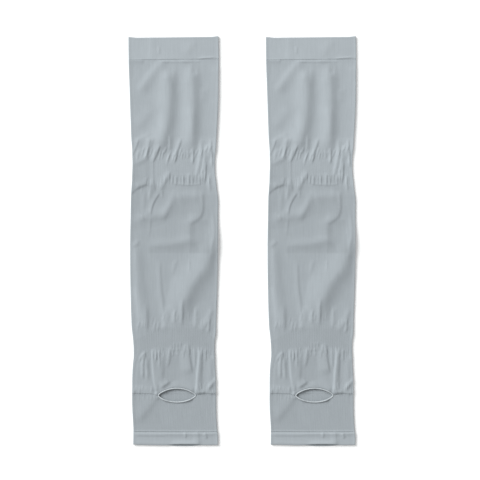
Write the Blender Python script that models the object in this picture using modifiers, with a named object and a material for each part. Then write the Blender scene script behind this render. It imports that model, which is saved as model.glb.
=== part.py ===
"""A pair of seamless knitted arm sleeves with thumb holes, lying flat side by side.

Each sleeve is a flattened tube of nylon and elastane knit: a turned welt at the upper arm, one long
arm tube, a hand cuff, a turned hem, and a narrow binding round the thumb hole. The thumb hole is the
stretch of the seam between arm tube and cuff that is left open. A sleeve lies along Y with its hand
end towards -Y and its thumb hole up: its lower layer is flat on the surface at z = 0, and its upper
layer lies on that one, with the folds. The two sleeves are folded alike.

Everything is in metres. A station is a distance down the sleeve from its upper edge, and "across" is
measured to the right from the sleeve's own axis.
"""

from collections import namedtuple

import bpy
import numpy as np

# Overall sizes.
LENGTH = 0.400
PITCH = 0.1344  # between the two sleeves' axes
SEAM_GAP = 0.0003  # left between neighbouring pieces
LAYER_GAP = 0.0006  # between the lower and the upper layer, where no fold lifts it

# Wall thickness. The welt and the hem are turned, so they are two plies thick.
KNIT_WALL = 0.0010
WELT_WALL = 0.0013
HEM_WALL = 0.0012

# Where one piece ends and the next begins, as stations.
WELT_END = 0.0216
THUMB_SEAM = 0.3488
HEM_START = 0.3854

# Thumb hole: the outer edge of its binding, from the seam that it is a part of.
HOLE_CENTRE = 0.0029  # across
HOLE_HALF_LENGTH = 0.0188
HOLE_ABOVE = 0.0065  # how far it opens towards the arm
HOLE_BELOW = 0.0087  # how far it opens towards the hand
HOLE_FULLNESS = 0.85  # exponent of each arc: 1 is a parabola, and 0.5 is half an ellipse
HOLE_INFLUENCE = 0.026  # how far from the seam the knit still bends round the hole
BINDING_WIDTH = 0.0016
BINDING_HEIGHT = 0.0018
BINDING_LIFT = 0.0014  # its underside above the surface
BINDING_POINTS = 14  # on each of its two arcs

# How finely the pieces are drawn.
UPPER_COLUMNS = 26
SIDE_COLUMNS = 2

# Plan outline, as the half widths to the left and the right of the sleeve's axis.
Width = namedtuple("Width", "station left right")
OUTLINE = [
    Width(0.000, 0.0451, 0.0440),
    Width(0.022, 0.0449, 0.0443),
    Width(0.054, 0.0438, 0.0440),
    Width(0.082, 0.0429, 0.0431),
    Width(0.108, 0.0415, 0.0415),
    Width(0.124, 0.0412, 0.0404),  # at the elbow band
    Width(0.138, 0.0415, 0.0412),
    Width(0.156, 0.0426, 0.0434),
    Width(0.172, 0.0429, 0.0437),
    Width(0.220, 0.0434, 0.0434),
    Width(0.258, 0.0429, 0.0424),
    Width(0.282, 0.0419, 0.0416),
    Width(0.296, 0.0405, 0.0406),
    Width(0.308, 0.0399, 0.0404),  # at the wrist band
    Width(0.328, 0.0412, 0.0412),
    Width(0.344, 0.0415, 0.0416),
    Width(0.360, 0.0414, 0.0417),
    Width(0.374, 0.0408, 0.0422),
    Width(0.384, 0.0402, 0.0426),
    Width(0.391, 0.0404, 0.0434),
    Width(0.400, 0.0404, 0.0433),
]

# Sections along the arm tube: a section each "step" down to "end". They are closer where the elastic
# bands gather the knit.
Run = namedtuple("Run", "end step")
TUBE_RUNS = [
    Run(0.098, 0.0153),  # upper arm
    Run(0.150, 0.0087),  # elbow band
    Run(0.262, 0.0160),  # forearm
    Run(THUMB_SEAM - SEAM_GAP / 2, 0.0097),  # wrist band
]

# The largest folds of the upper layer: the points that a crest passes, as (across, station), its half
# width and its height above the flat layer.
Fold = namedtuple("Fold", "crest half_width height")
FOLDS = [
    # Welt and upper arm.
    Fold([(-0.017, 0.002), (-0.017, 0.019)], 0.0060, 0.0004),
    Fold([(-0.014, 0.030), (-0.024, 0.039), (-0.032, 0.047), (-0.039, 0.057)], 0.0050, 0.0013),
    Fold([(-0.007, 0.034), (-0.006, 0.057), (-0.008, 0.079), (-0.013, 0.101)], 0.0055, 0.0019),
    Fold([(0.016, 0.029), (0.017, 0.052), (0.017, 0.077), (0.015, 0.101)], 0.0055, 0.0021),
    # Gathers into the elbow band.
    Fold([(-0.028, 0.101), (-0.033, 0.112)], 0.0035, 0.0009),
    Fold([(-0.015, 0.107), (-0.020, 0.120)], 0.0035, 0.0012),
    Fold([(0.027, 0.106), (0.025, 0.121), (0.022, 0.131)], 0.0035, 0.0011),
    # Below the elbow.
    Fold([(0.003, 0.147), (-0.002, 0.159), (-0.006, 0.169), (-0.009, 0.177)], 0.0045, 0.0012),
    Fold([(0.025, 0.154), (0.026, 0.168), (0.021, 0.177)], 0.0045, 0.0012),
    Fold([(-0.022, 0.202), (0.000, 0.202), (0.023, 0.202)], 0.0050, 0.0011),
    # Forearm: one long fold slants from the right edge down to the wrist.
    Fold([(0.036, 0.165), (0.037, 0.200), (0.034, 0.216), (0.026, 0.233), (0.012, 0.254), (0.000, 0.276)],
         0.0065, 0.0023),
    Fold([(-0.033, 0.212), (-0.033, 0.240), (-0.030, 0.266), (-0.028, 0.286)], 0.0050, 0.0011),
    Fold([(-0.016, 0.216), (-0.015, 0.252)], 0.0050, 0.0009),
    # Gathers into the wrist band and out of it.
    Fold([(0.036, 0.271), (0.032, 0.285)], 0.0035, 0.0010),
    Fold([(0.021, 0.270), (0.022, 0.282)], 0.0035, 0.0009),
    Fold([(-0.018, 0.310), (-0.017, 0.323), (-0.015, 0.341)], 0.0038, 0.0013),
    Fold([(0.013, 0.306), (0.013, 0.320), (0.014, 0.331)], 0.0038, 0.0009),
    Fold([(0.025, 0.310), (0.025, 0.325), (0.024, 0.341)], 0.0038, 0.0015),
    # The hem's mouth, where the upper layer stands a little off the lower one.
    Fold([(0.005, 0.388), (0.005, 0.400)], 0.0080, 0.0012),
]
FOLD_EDGE = 0.007  # folds die away within this distance of the side edges

# Finishes. Colours are linear.
CLOTH_COLOUR = (0.36, 0.41, 0.44, 1.0)
WELT_COLOUR = (0.39, 0.44, 0.47, 1.0)
BINDING_COLOUR = (0.58, 0.63, 0.65, 1.0)
KNIT_ROUGHNESS = 0.75


def knit_material(name, colour):
    """A matt knit of one colour."""
    material = bpy.data.materials.new(name)
    material.use_nodes = True
    shader = material.node_tree.nodes["Principled BSDF"]
    shader.inputs["Base Color"].default_value = colour
    shader.inputs["Roughness"].default_value = KNIT_ROUGHNESS
    shader.inputs["Metallic"].default_value = 0.0
    return material


def half_width(station, side):
    """The outline's half width at a station, on a smooth cubic through the table's rows."""
    stations = np.array([row.station for row in OUTLINE])
    widths = np.array([getattr(row, side) for row in OUTLINE])
    slopes = np.gradient(widths, stations)
    row = int(np.clip(np.searchsorted(stations, station) - 1, 0, len(OUTLINE) - 2))
    span = stations[row + 1] - stations[row]
    t = np.clip((station - stations[row]) / span, 0.0, 1.0)
    from_start = (1 + 2 * t) * (1 - t) ** 2 * widths[row] + t * (1 - t) ** 2 * span * slopes[row]
    from_end = t * t * (3 - 2 * t) * widths[row + 1] + t * t * (t - 1) * span * slopes[row + 1]
    return from_start + from_end


def fold_height(across, station):
    """How far the folds lift the upper layer: a bell across each crest, which fades out past its ends."""
    points = np.stack([across, np.full_like(across, station)], axis=1)
    height = np.zeros(len(across))
    for fold in FOLDS:
        away = np.full(len(across), np.inf)
        for start, end in zip(fold.crest[:-1], fold.crest[1:]):
            run = np.subtract(end, start)
            t = np.clip((points - start) @ run / (run @ run), 0.0, 1.0)
            away = np.minimum(away, np.linalg.norm(points - start - t[:, None] * run, axis=1))
        height += fold.height * np.exp(-((away / fold.half_width) ** 2))
    return height


def arc_of_hole(across, half_length, reach):
    """One arc of the thumb hole: how far it stands off the seam at each place across."""
    share = np.clip(np.abs(across - HOLE_CENTRE) / half_length, 0.0, 1.0)
    return reach * (1.0 - share**2) ** HOLE_FULLNESS


def bend_round_hole(across, station):
    """How far the upper layer is pushed along the sleeve, away from the thumb hole."""
    towards_arm = station < THUMB_SEAM
    reach = (HOLE_ABOVE if towards_arm else HOLE_BELOW) + SEAM_GAP
    fade = np.clip(1.0 - abs(station - THUMB_SEAM) / HOLE_INFLUENCE, 0.0, 1.0) ** 1.5
    return (-fade if towards_arm else fade) * arc_of_hole(across, HOLE_HALF_LENGTH + SEAM_GAP, reach)


def section(station, wall):
    """One closed section of a flattened tube, counter-clockwise as seen from its hand end.

    It runs along the flat lower layer, round the right fold, back across the upper layer with its
    folds, and round the left fold.
    """
    left, right = half_width(station, "left"), half_width(station, "right")
    radius = wall + LAYER_GAP / 2
    turn = np.linspace(-np.pi / 2, np.pi / 2, SIDE_COLUMNS + 2)[1:-1]
    upper = np.linspace(right - radius, radius - left, UPPER_COLUMNS)
    to_edge = np.minimum(right - radius - upper, upper + left - radius)
    fade = np.clip(to_edge / FOLD_EDGE, 0.0, 1.0)
    lift = fold_height(upper, station) * fade * fade * (3 - 2 * fade)
    across = np.concatenate([
        [radius - left, right - radius],
        right - radius + radius * np.cos(turn),
        upper,
        radius - left - radius * np.cos(turn[::-1]),
    ])
    height = np.concatenate([
        [0.0, 0.0],
        radius + radius * np.sin(turn),
        2 * radius + lift,
        radius + radius * np.sin(turn[::-1]),
    ])
    along = np.full(len(across), station)
    first_upper = 2 + SIDE_COLUMNS
    along[first_upper:first_upper + UPPER_COLUMNS] += bend_round_hole(upper, station)
    return np.stack([across, LENGTH / 2 - along, height], axis=1)


def flattened_tube(name, stations, wall, material):
    """The outer surface of a flattened tube: a loft through its sections, open at both ends."""
    sections = np.array([section(station, wall) for station in stations])
    rows, columns = sections.shape[:2]
    row, column = np.meshgrid(np.arange(rows - 1), np.arange(columns), indexing="ij")
    following = (column + 1) % columns
    faces = np.stack([
        row * columns + column,
        row * columns + following,
        (row + 1) * columns + following,
        (row + 1) * columns + column,
    ], axis=-1).reshape(-1, 4)
    mesh = bpy.data.meshes.new(name)
    mesh.from_pydata(sections.reshape(-1, 3).tolist(), [], faces.tolist())
    mesh.shade_smooth()
    mesh.materials.append(material)
    return mesh


def thumb_binding(name, material):
    """The binding round the thumb hole: a flat ring between the hole's outline and one inside it."""
    curve = bpy.data.curves.new(name, "CURVE")
    curve.dimensions = "2D"
    curve.fill_mode = "BOTH"
    curve.extrude = BINDING_HEIGHT / 2
    for inset in (0.0, BINDING_WIDTH):
        half_length = HOLE_HALF_LENGTH - 2 * inset
        across = HOLE_CENTRE + half_length * np.cos(np.linspace(0.0, np.pi, BINDING_POINTS + 1)[:-1])
        upper_arc = arc_of_hole(across, half_length, HOLE_ABOVE - inset)
        lower_arc = arc_of_hole(2 * HOLE_CENTRE - across, half_length, HOLE_BELOW - inset)
        outline = np.concatenate([
            np.stack([across, upper_arc], axis=1),
            np.stack([2 * HOLE_CENTRE - across, -lower_arc], axis=1),
        ])
        spline = curve.splines.new("POLY")
        spline.points.add(len(outline) - 1)
        for point, (x, y) in zip(spline.points, outline):
            point.co = (x, y, 0.0, 1.0)
        spline.use_cyclic_u = True
    curve.materials.append(material)
    return curve


def tube_stations():
    """The stations of the arm tube's sections, run by run."""
    stations = [WELT_END + SEAM_GAP / 2]
    for run in TUBE_RUNS:
        count = round((run.end - stations[-1]) / run.step)
        stations.extend(np.linspace(stations[-1], run.end, count + 1)[1:])
    return stations


def place(name, data, parent, location, wall=0.0):
    """Puts one piece on its sleeve, and gives a loft its wall, which grows inwards."""
    piece = bpy.data.objects.new(name, data)
    piece.parent = parent
    piece.location = location
    parent.users_collection[0].objects.link(piece)
    if wall:
        solidify = piece.modifiers.new("wall", "SOLIDIFY")
        solidify.thickness = wall
        solidify.offset = -1.0


def build():
    """Clears the scene, makes the five pieces of a sleeve and lays two such sleeves side by side."""
    for old in list(bpy.data.objects):
        bpy.data.objects.remove(old)
    parts = bpy.data.collections.new("arm_sleeves")
    bpy.context.scene.collection.children.link(parts)

    cloth = knit_material("nylon_jersey", CLOTH_COLOUR)
    turned = knit_material("turned_welt", WELT_COLOUR)
    bound = knit_material("binding_yarn", BINDING_COLOUR)
    edge = SEAM_GAP / 2
    welt = flattened_tube("welt", np.linspace(0.0, WELT_END - edge, 3), WELT_WALL, turned)
    arm_tube = flattened_tube("arm_tube", tube_stations(), KNIT_WALL, cloth)
    cuff_stations = np.linspace(THUMB_SEAM + edge, HEM_START - edge, 5)
    hand_cuff = flattened_tube("hand_cuff", cuff_stations, KNIT_WALL, cloth)
    hem = flattened_tube("hem", np.linspace(HEM_START + edge, LENGTH, 3), HEM_WALL, turned)
    binding = thumb_binding("thumb_binding", bound)
    binding_at = (0.0, LENGTH / 2 - THUMB_SEAM, BINDING_LIFT + BINDING_HEIGHT / 2)

    widest_left = max(row.left for row in OUTLINE)
    widest_right = max(row.right for row in OUTLINE)
    for side, axis in (("left", -PITCH / 2), ("right", PITCH / 2)):
        sleeve = bpy.data.objects.new(f"{side}_sleeve", None)
        sleeve.location.x = axis + (widest_left - widest_right) / 2
        parts.objects.link(sleeve)
        place(f"{side}_welt", welt, sleeve, (0.0, 0.0, 0.0), WELT_WALL)
        place(f"{side}_arm_tube", arm_tube, sleeve, (0.0, 0.0, 0.0), KNIT_WALL)
        place(f"{side}_hand_cuff", hand_cuff, sleeve, (0.0, 0.0, 0.0), KNIT_WALL)
        place(f"{side}_hem", hem, sleeve, (0.0, 0.0, 0.0), HEM_WALL)
        place(f"{side}_thumb_binding", binding, sleeve, binding_at)


build()
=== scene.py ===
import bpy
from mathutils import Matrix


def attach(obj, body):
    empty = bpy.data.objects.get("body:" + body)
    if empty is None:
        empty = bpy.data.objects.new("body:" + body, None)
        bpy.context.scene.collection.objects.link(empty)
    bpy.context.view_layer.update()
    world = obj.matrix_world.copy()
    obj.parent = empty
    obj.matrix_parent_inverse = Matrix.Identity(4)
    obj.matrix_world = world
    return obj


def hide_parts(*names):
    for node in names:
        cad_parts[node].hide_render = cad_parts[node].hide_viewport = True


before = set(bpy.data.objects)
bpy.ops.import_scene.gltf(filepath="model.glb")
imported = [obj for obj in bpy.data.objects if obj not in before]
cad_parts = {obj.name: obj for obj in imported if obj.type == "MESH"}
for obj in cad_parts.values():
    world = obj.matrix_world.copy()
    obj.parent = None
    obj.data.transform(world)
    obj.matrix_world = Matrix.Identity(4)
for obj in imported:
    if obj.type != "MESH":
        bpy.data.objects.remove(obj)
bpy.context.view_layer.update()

from collections import namedtuple

import bpy
import numpy as np
from mathutils import Vector

# A pair of knitted arm sleeves laid flat. Cloth sizes are in millimetres, and turn to metres in the
# meshes. "Across" runs to the right from a sleeve's own axis, and a station is a distance down from
# the sleeve's upper edge. The two sleeves are folded alike.

# ------------------------------------------------------------------------------
# Camera. A long lens straight above the pair, as in the photograph, whose frame is a little under
# half a metre wide. The pair lies slightly to the right of the middle.

FRAME_WIDTH = 0.4701  # metres
FRAME_CENTRE = (-0.0024, 0.0018)
LENS_MM = 85.0
SENSOR_MM = 36.0


def put_in_scene(name, data):
    """A new object in the scene, with this mesh, light or camera."""
    added = bpy.data.objects.new(name, data)
    bpy.context.scene.collection.objects.link(added)
    return added


camera_data = bpy.data.cameras.new("camera")
camera_data.lens = LENS_MM
camera_data.sensor_width = SENSOR_MM
camera = put_in_scene("camera", camera_data)
camera.location = (*FRAME_CENTRE, FRAME_WIDTH * LENS_MM / SENSOR_MM)
bpy.context.scene.camera = camera

# ------------------------------------------------------------------------------
# Arm tubes. One seamless circular-knit tube of nylon and elastane on each sleeve, pressed flat. An
# elastic band at the elbow and one at the wrist are knitted in, and gather the plain knit beside
# them. The welt is turned at its upper end, and it is joined to the hand cuff at its lower end.

MM = 0.001
LENGTH = 400.0
SLEEVES = {"left": -0.0668, "right": 0.0676}  # where each axis is, in metres
WELT_END = 21.6
THUMB_SEAM = 348.8
HEM_START = 385.9
SEAM_GAP = 0.06
RIM_REACH = 0.07  # how far a cut edge rounds off along the sleeve
RIM_INSIDE = 0.2  # and how far in the wall's inner face is level again
TUBE_WALL = 0.55
LAYER_GAP = 0.7  # between a tube's two layers, where no fold lifts the upper one
FOLD_POWER = 0.2  # makes the side folds blunt
FOLD_OVERHANG = 0.12  # their upper corner stands out past their middle by this share

# How finely the knit is drawn.
UPPER_COLUMNS = 127
LOWER_COLUMNS = 42
SIDE_TURNS_DEG = [-80, -60, -25, 5, 30, 50, 65, 75, 83]  # closest near the upper corner
MEAN_WIDTH = 84.0  # of a layer, for places along the girth
RIM_ROWS = 5
CLOSE_ROWS, WIDE_ROWS = 0.62, 1.1  # apart at the elastic bands, and elsewhere
CLOSE_STRETCHES = [(123, 28), (312, 44)]  # the middles of these close rows, and how far they reach
SEAM_ROWS = 0.4  # apart beside the welt and the hem
SEAM_STRETCH = 3.5
INNER_STEP = 4  # outer rows to an inner one
SPACING_STEPS = 1500  # in which the spacing of the rows is added up

# Half widths of a sleeve to the left and the right of its axis.
Width = namedtuple("Width", "station left right")
OUTLINE = [Width(*row) for row in [
    (0, 44.7, 43.2), (12, 44.6, 43.4), (22, 44.5, 43.5), (38, 44.0, 43.3), (54, 43.4, 43.2),
    (70, 42.9, 42.8), (85, 42.4, 42.1), (100, 41.8, 41.2), (109, 41.1, 40.7), (117, 40.9, 39.8),
    (125, 40.7, 39.6), (133, 41.0, 39.9), (141, 41.2, 40.8), (148, 41.7, 41.5), (156, 42.2, 42.6),
    (172, 42.5, 42.7), (203, 43.0, 42.7), (234, 42.8, 42.3), (258, 42.4, 41.7), (274, 41.9, 41.1),
    (284, 41.4, 40.9), (290, 40.7, 40.6), (297, 40.0, 39.7), (305, 39.5, 39.5), (312, 39.5, 39.7),
    (320, 40.3, 39.9), (328, 40.8, 40.4), (344, 41.0, 40.8), (359, 41.0, 40.8), (367, 40.7, 40.9),
    (375, 40.2, 41.3), (383, 39.8, 41.8), (391, 39.9, 42.6), (400, 40.0, 42.5),
]]

# Folds of the upper layer. A path runs down or to the left, "lit" is the width of its side that faces
# up or left, towards the light, "shade" that of the other side, and "fade" the share of the path in
# which it rises at each end. A height below zero makes a furrow.
Crease = namedtuple("Crease", "path lit shade height fade", defaults=[0.35])
CREASES = [
    # Welt.
    Crease([(46, 0.3), (0, 0.2), (-46, 0.3)], 0.8, 0.9, 0.22, 0.05),
    Crease([(-23, -9), (-22, 10), (-22, 30)], 4.0, 5.0, 0.35),
    Crease([(44, 19.8), (32, 20.4), (20, 21.2)], 1.0, 0.9, 0.45),
    Crease([(-29, 22.6), (-36, 22.5), (-46, 22.5)], 1.3, 2.4, 0.45, 0.15),
    Crease([(18, 22.6), (11, 22.6), (4, 22.6)], 1.2, 2.2, 0.3),
    Crease([(-14.8, 8), (-14.4, 17)], 1.6, 0.9, 0.3),
    Crease([(24, 1), (17, 9), (10, 19)], 7.0, 5.0, 0.4),
    Crease([(26, 15), (26, 19)], 1.6, 1.6, -0.25),
    # Upper arm: long soft folds that run down from the welt.
    Crease([(29, 23.8), (12, 24), (-2, 23.8), (-16, 23.6)], 0.9, 1.0, 0.35, 0.15),
    Crease([(-3, 25), (-10.5, 25.8), (-16, 29), (-20.5, 34.5), (-25.5, 41.5), (-30.5, 49), (-34.5, 57)],
           4.5, 6.0, 1.0, 0.22),
    Crease([(-39.8, 26), (-39.4, 34), (-40.2, 43)], 1.2, 1.4, -0.9),
    Crease([(-6.5, 25), (-5.5, 36), (-5, 50), (-5.3, 64), (-6.3, 78), (-8.7, 90), (-12.4, 103), (-15, 117)],
           9.5, 7.0, 2.6, 0.18),
    Crease([(14.6, 25), (16.4, 36), (18, 52), (18, 72), (17.5, 88), (16.5, 103), (15.5, 118)],
           8.5, 6.5, 2.4, 0.21),
    Crease([(17, 66), (17.6, 84), (17, 100)], 4.0, 4.0, 0.5),
    Crease([(20.4, 22), (20.2, 30), (20.4, 38)], 2.8, 1.8, -0.5, 0.3),
    Crease([(-2.6, 26), (-2.8, 35), (-2.6, 47)], 2.8, 2.2, -0.3),
    Crease([(28.6, 48), (28.6, 57), (28, 66)], 3.2, 4.0, 0.35),
    Crease([(-15.4, 66), (-15.4, 80), (-14.8, 96)], 4.0, 3.0, -0.3),
    Crease([(-4.4, 94), (-4, 103), (-4.6, 113)], 1.2, 2.4, 0.55),
    Crease([(-22, 66), (-27, 76), (-33, 84), (-42, 92)], 7.0, 5.0, 0.5),
    Crease([(43, 24), (43, 50), (42.5, 76), (42, 100), (41, 118)], 6.0, 2.0, 0.7, 0.1),
    # Gathers into the elbow band.
    Crease([(-34.5, 98), (-36.5, 105), (-39.5, 113)], 1.8, 0.9, 0.5),
    Crease([(-21, 93.6), (-28, 97.4), (-35, 101), (-42, 105.5)], 3.0, 6.0, 0.6, 0.3),
    Crease([(-23, 96), (-25, 105), (-26.2, 113), (-26.4, 122)], 3.2, 1.7, 1.0, 0.25),
    Crease([(-19.5, 95), (-22, 104), (-25, 112)], 2.0, 1.4, 0.4),
    Crease([(-13.4, 104), (-16.4, 112), (-21.6, 124)], 3.4, 0.9, 1.0, 0.3),
    Crease([(7, 97), (5, 105), (2.5, 113), (-0.5, 126)], 2.6, 1.2, 0.75, 0.25),
    Crease([(-3, 112), (-5.5, 119), (-8, 127)], 1.3, 0.9, 0.4),
    Crease([(8.3, 111), (7.4, 121)], 0.9, 0.8, 0.35),
    Crease([(11, 110), (10.2, 120)], 0.9, 0.8, 0.35),
    Crease([(13.8, 110), (13.2, 120)], 0.9, 0.8, 0.35),
    Crease([(18.8, 107), (18.6, 115), (18, 126)], 1.5, 0.9, 0.8),
    Crease([(26.4, 96), (26.2, 108), (25, 120), (23, 131), (21.4, 141)], 2.0, 3.0, 0.95, 0.3),
    Crease([(30.4, 103), (30.2, 113), (29, 124), (27, 134)], 1.4, 2.4, 0.7, 0.3),
    Crease([(27.2, 106), (27, 119)], 1.2, 0.8, 0.3),
    Crease([(34.6, 103), (34.4, 112), (33.6, 122)], 3.0, 1.2, 0.6),
    Crease([(36, 98), (36, 107), (35.8, 117)], 2.0, 0.9, 0.55),
    Crease([(37, 108), (37, 117), (37.4, 129)], 1.6, 0.9, 1.0),
    # Elbow band.
    Crease([(-24, 116), (-31, 120), (-41, 125)], 4.0, 3.0, 0.5),
    Crease([(-20.4, 118), (-20.3, 130), (-20, 140), (-18.4, 152)], 2.0, 0.8, 0.4, 0.2),
    # Gathers out of the elbow band.
    Crease([(-3.6, 128), (-7.6, 137), (-12, 146), (-14.5, 155)], 3.0, 2.8, 0.9, 0.3),
    Crease([(-4.5, 131), (-5, 140)], 1.0, 0.7, 0.35),
    Crease([(-1.5, 134), (-1.6, 145)], 1.0, 0.7, 0.35),
    Crease([(2.2, 134), (2.3, 146)], 1.2, 0.8, 0.4),
    Crease([(6, 135), (6.1, 145)], 1.0, 0.7, 0.3),
    Crease([(9, 134), (9.2, 146)], 1.0, 0.8, 0.5),
    Crease([(14.2, 132), (14.8, 146)], 1.6, 0.9, 0.8),
    Crease([(17.6, 134), (17.8, 146)], 1.0, 0.7, 0.4),
    Crease([(25, 133), (25.2, 146)], 1.2, 0.8, 0.45),
    Crease([(31.4, 119), (30.4, 131), (29.2, 147)], 2.0, 1.1, 0.85),
    Crease([(34.2, 132), (34.5, 142), (35, 153)], 1.5, 1.5, 0.5),
    Crease([(27.6, 127), (27.3, 142)], 1.3, 0.9, 0.8),
    Crease([(28, 143.2), (19, 144.3), (9, 144.2), (-3, 143.2)], 1.5, 0.9, 0.4, 0.25),
    Crease([(-23, 143.4), (-28.4, 143.8), (-34.2, 145.8), (-39.2, 149.3), (-46, 154.6)], 6.0, 1.6, 0.8, 0.2),
    Crease([(-22, 136), (-22.8, 147), (-24.4, 162)], 1.8, 3.4, 0.8),
    Crease([(-29, 147), (-29.6, 158), (-30.2, 174)], 2.6, 2.0, 0.35),
    # Elbow patch.
    Crease([(3.5, 145), (0.8, 153), (-3, 161), (-7.8, 170), (-12.5, 181)], 4.0, 6.0, 0.75, 0.3),
    Crease([(-2.2, 159), (-4.8, 166), (-8, 173), (-12, 180)], 3.0, 2.2, 0.36),
    Crease([(-13.4, 151), (-18.2, 158), (-21.8, 166), (-23, 175)], 3.0, 0.9, 0.7, 0.2),
    Crease([(-22.6, 174), (-23.4, 184), (-24.2, 197)], 2.0, 0.8, 0.3),
    Crease([(-11.4, 149), (-11.4, 158)], 1.5, 0.7, 0.4),
    Crease([(26.2, 148), (27.1, 160), (26.6, 170), (23, 176.8), (13, 181.6)], 8.0, 2.4, 0.95, 0.2),
    Crease([(14, 175), (15, 188), (14, 203)], 7.0, 4.0, 0.7, 0.25),
    Crease([(26, 154), (14, 155), (1, 158)], 5.0, 8.0, 0.8, 0.25),
    Crease([(-4, 172), (-18, 174), (-40, 178)], 6.0, 5.0, 0.8, 0.25),
    Crease([(-33.5, 174), (-31, 175.5), (-29, 179)], 1.2, 1.0, 0.4),
    Crease([(30, 199), (12, 200), (-5, 202), (-28, 203)], 5.0, 5.0, 0.8, 0.25),
    Crease([(-33, 198), (-37, 202), (-42, 205)], 3.0, 2.0, 0.5),
    # Forearm: one long fold slants from the right edge down to the wrist.
    Crease([(41, 174), (41.4, 190), (38.6, 204), (32.6, 216), (27.2, 225.5), (20.4, 234), (14.6, 242.4),
            (11.4, 251.6), (9.5, 261), (8.2, 271), (7, 284)], 12.5, 8.0, 2.75, 0.26),
    Crease([(40, 215), (33.6, 228.5), (26.8, 237.6), (20.8, 246), (17.2, 254.5), (15.2, 264)],
           7.0, 9.0, 1.0, 0.3),
    Crease([(36.6, 166), (38.8, 182), (38.8, 197), (34.6, 211)], 1.8, 1.8, 0.45),
    Crease([(8.6, 252), (7.8, 264), (7.4, 285)], 2.5, 1.6, 0.8, 0.35),
    Crease([(-38.6, 196), (-36.8, 214), (-36, 232), (-34.6, 248), (-32, 262), (-29.6, 275), (-28.8, 290)],
           5.0, 6.5, 1.25, 0.2),
    Crease([(-28, 258), (-27.4, 274), (-27, 293)], 2.4, 2.2, 0.5),
    Crease([(-14.2, 214), (-14, 230), (-13, 248), (-11, 263), (-12, 281)], 3.0, 1.6, 0.5, 0.2),
    Crease([(-2, 214), (-5.5, 240), (-9, 268)], 4.0, 4.0, -0.35),
    Crease([(3, 215), (-0.5, 226), (-3, 235)], 3.0, 2.0, 0.4),
    Crease([(15, 216), (15.2, 230)], 1.2, 0.8, 0.3),
    # Gathers into the wrist band.
    Crease([(-6.8, 262), (-8.4, 273), (-10.4, 289)], 2.2, 3.0, 0.55),
    Crease([(0.6, 265), (0.4, 273), (0, 281)], 1.4, 1.3, 0.5),
    Crease([(-14.6, 276), (-15.4, 282), (-16.5, 289)], 1.3, 1.2, 0.35),
    Crease([(-18.6, 277), (-19.2, 283), (-20, 290)], 1.3, 1.2, 0.3),
    Crease([(21.7, 263), (21, 273), (20, 287)], 1.3, 2.4, 0.4, 0.25),
    Crease([(19.2, 260), (18.6, 271), (17.6, 284)], 2.4, 1.4, -0.3),
    Crease([(38.6, 262), (34.2, 273), (29.8, 281), (25.4, 290)], 3.2, 2.8, 0.65, 0.3),
    Crease([(35, 273), (34.2, 281), (33.6, 291)], 1.8, 1.1, 0.8),
    Crease([(40, 282), (40.2, 290), (40.3, 298)], 1.2, 0.9, 0.4),
    # Gathers out of the wrist band.
    Crease([(-27, 307), (-31.6, 311.5), (-35, 319)], 1.4, 1.0, 0.5),
    Crease([(-27.8, 305), (-30.1, 314), (-30.6, 324), (-30.6, 336)], 1.8, 1.6, 0.9, 0.25),
    Crease([(-21, 303), (-20.6, 314), (-20, 326), (-18.7, 337), (-16.2, 350)], 1.3, 4.4, 0.95, 0.16),
    Crease([(-27.2, 309), (-26.8, 322), (-25.4, 338)], 1.8, 2.4, 0.95),
    Crease([(-18, 303), (-17.6, 311), (-17.4, 319)], 1.0, 0.8, 0.45),
    Crease([(-14.6, 300), (-14.2, 312), (-14, 326)], 1.6, 0.9, 0.45),
    Crease([(-12, 306), (-12, 319), (-12.6, 330), (-13.6, 341)], 4.0, 2.6, 0.6, 0.25),
    Crease([(-3.4, 300), (-4.8, 312), (-6.6, 326)], 2.0, 2.8, 0.7),
    Crease([(2, 304), (-1, 320), (-6, 335), (-13, 347)], 4.0, 6.0, -0.85),
    Crease([(-2.6, 334.4), (-8, 338.2), (-15, 343)], 4.5, 2.4, 1.7),
    Crease([(0.2, 297), (0, 309)], 1.0, 0.8, 0.35),
    Crease([(3.4, 297), (3.2, 309)], 1.0, 0.8, 0.35),
    Crease([(6.4, 296), (6.2, 308)], 1.0, 0.8, 0.35),
    Crease([(13.2, 297), (13.8, 309), (15.4, 320), (17.6, 331)], 7.0, 1.8, 1.1, 0.25),
    Crease([(19.6, 301), (20, 313), (20.6, 327)], 1.5, 1.3, 0.5),
    Crease([(25.4, 302), (24.6, 316), (23.2, 331), (22.4, 351)], 1.4, 4.2, 1.4, 0.16),
    Crease([(28.8, 303), (28.4, 318), (28, 338)], 1.3, 1.3, -0.3),
    Crease([(31, 303), (31, 318)], 1.3, 0.9, 0.6),
    Crease([(37, 308), (36, 325), (34.5, 350)], 4.0, 3.4, 0.6, 0.2),
    Crease([(42, 331.4), (37.6, 338.6), (31.6, 344.6)], 2.0, 2.0, 0.9),
    Crease([(-41, 341), (-30, 343), (-20, 346)], 3.0, 2.0, 0.25),
    # Thumb seam, and round the thumb hole.
    Crease([(-19, 347.6), (-27, 347.9), (-35, 347.5), (-43, 347.9)], 5.0, 0.9, 0.6, 0.1),
    Crease([(43, 347.2), (37, 348), (30, 347.2), (20, 347.6)], 5.0, 1.1, 0.95, 0.06),
    Crease([(31, 347), (27, 346.8), (23, 347)], 2.0, 1.6, 0.6),
    Crease([(22, 347), (13, 342.6), (4, 341.4), (-5, 342.6), (-15, 347.6)], 5.0, 3.0, 1.1, 0.15),
    Crease([(19.6, 352), (13, 354.6), (4, 355.7), (-5, 354.9), (-15, 351.2)], 2.0, 1.2, 1.3, 0.16),
    Crease([(-4, 355.6), (-10.6, 353.6), (-15.8, 350.4)], 1.6, 1.4, 0.8),
    Crease([(-17, 345.6), (-16.2, 350), (-14, 354)], 3.0, 2.0, 0.7, 0.3),
    # Cuff.
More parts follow.
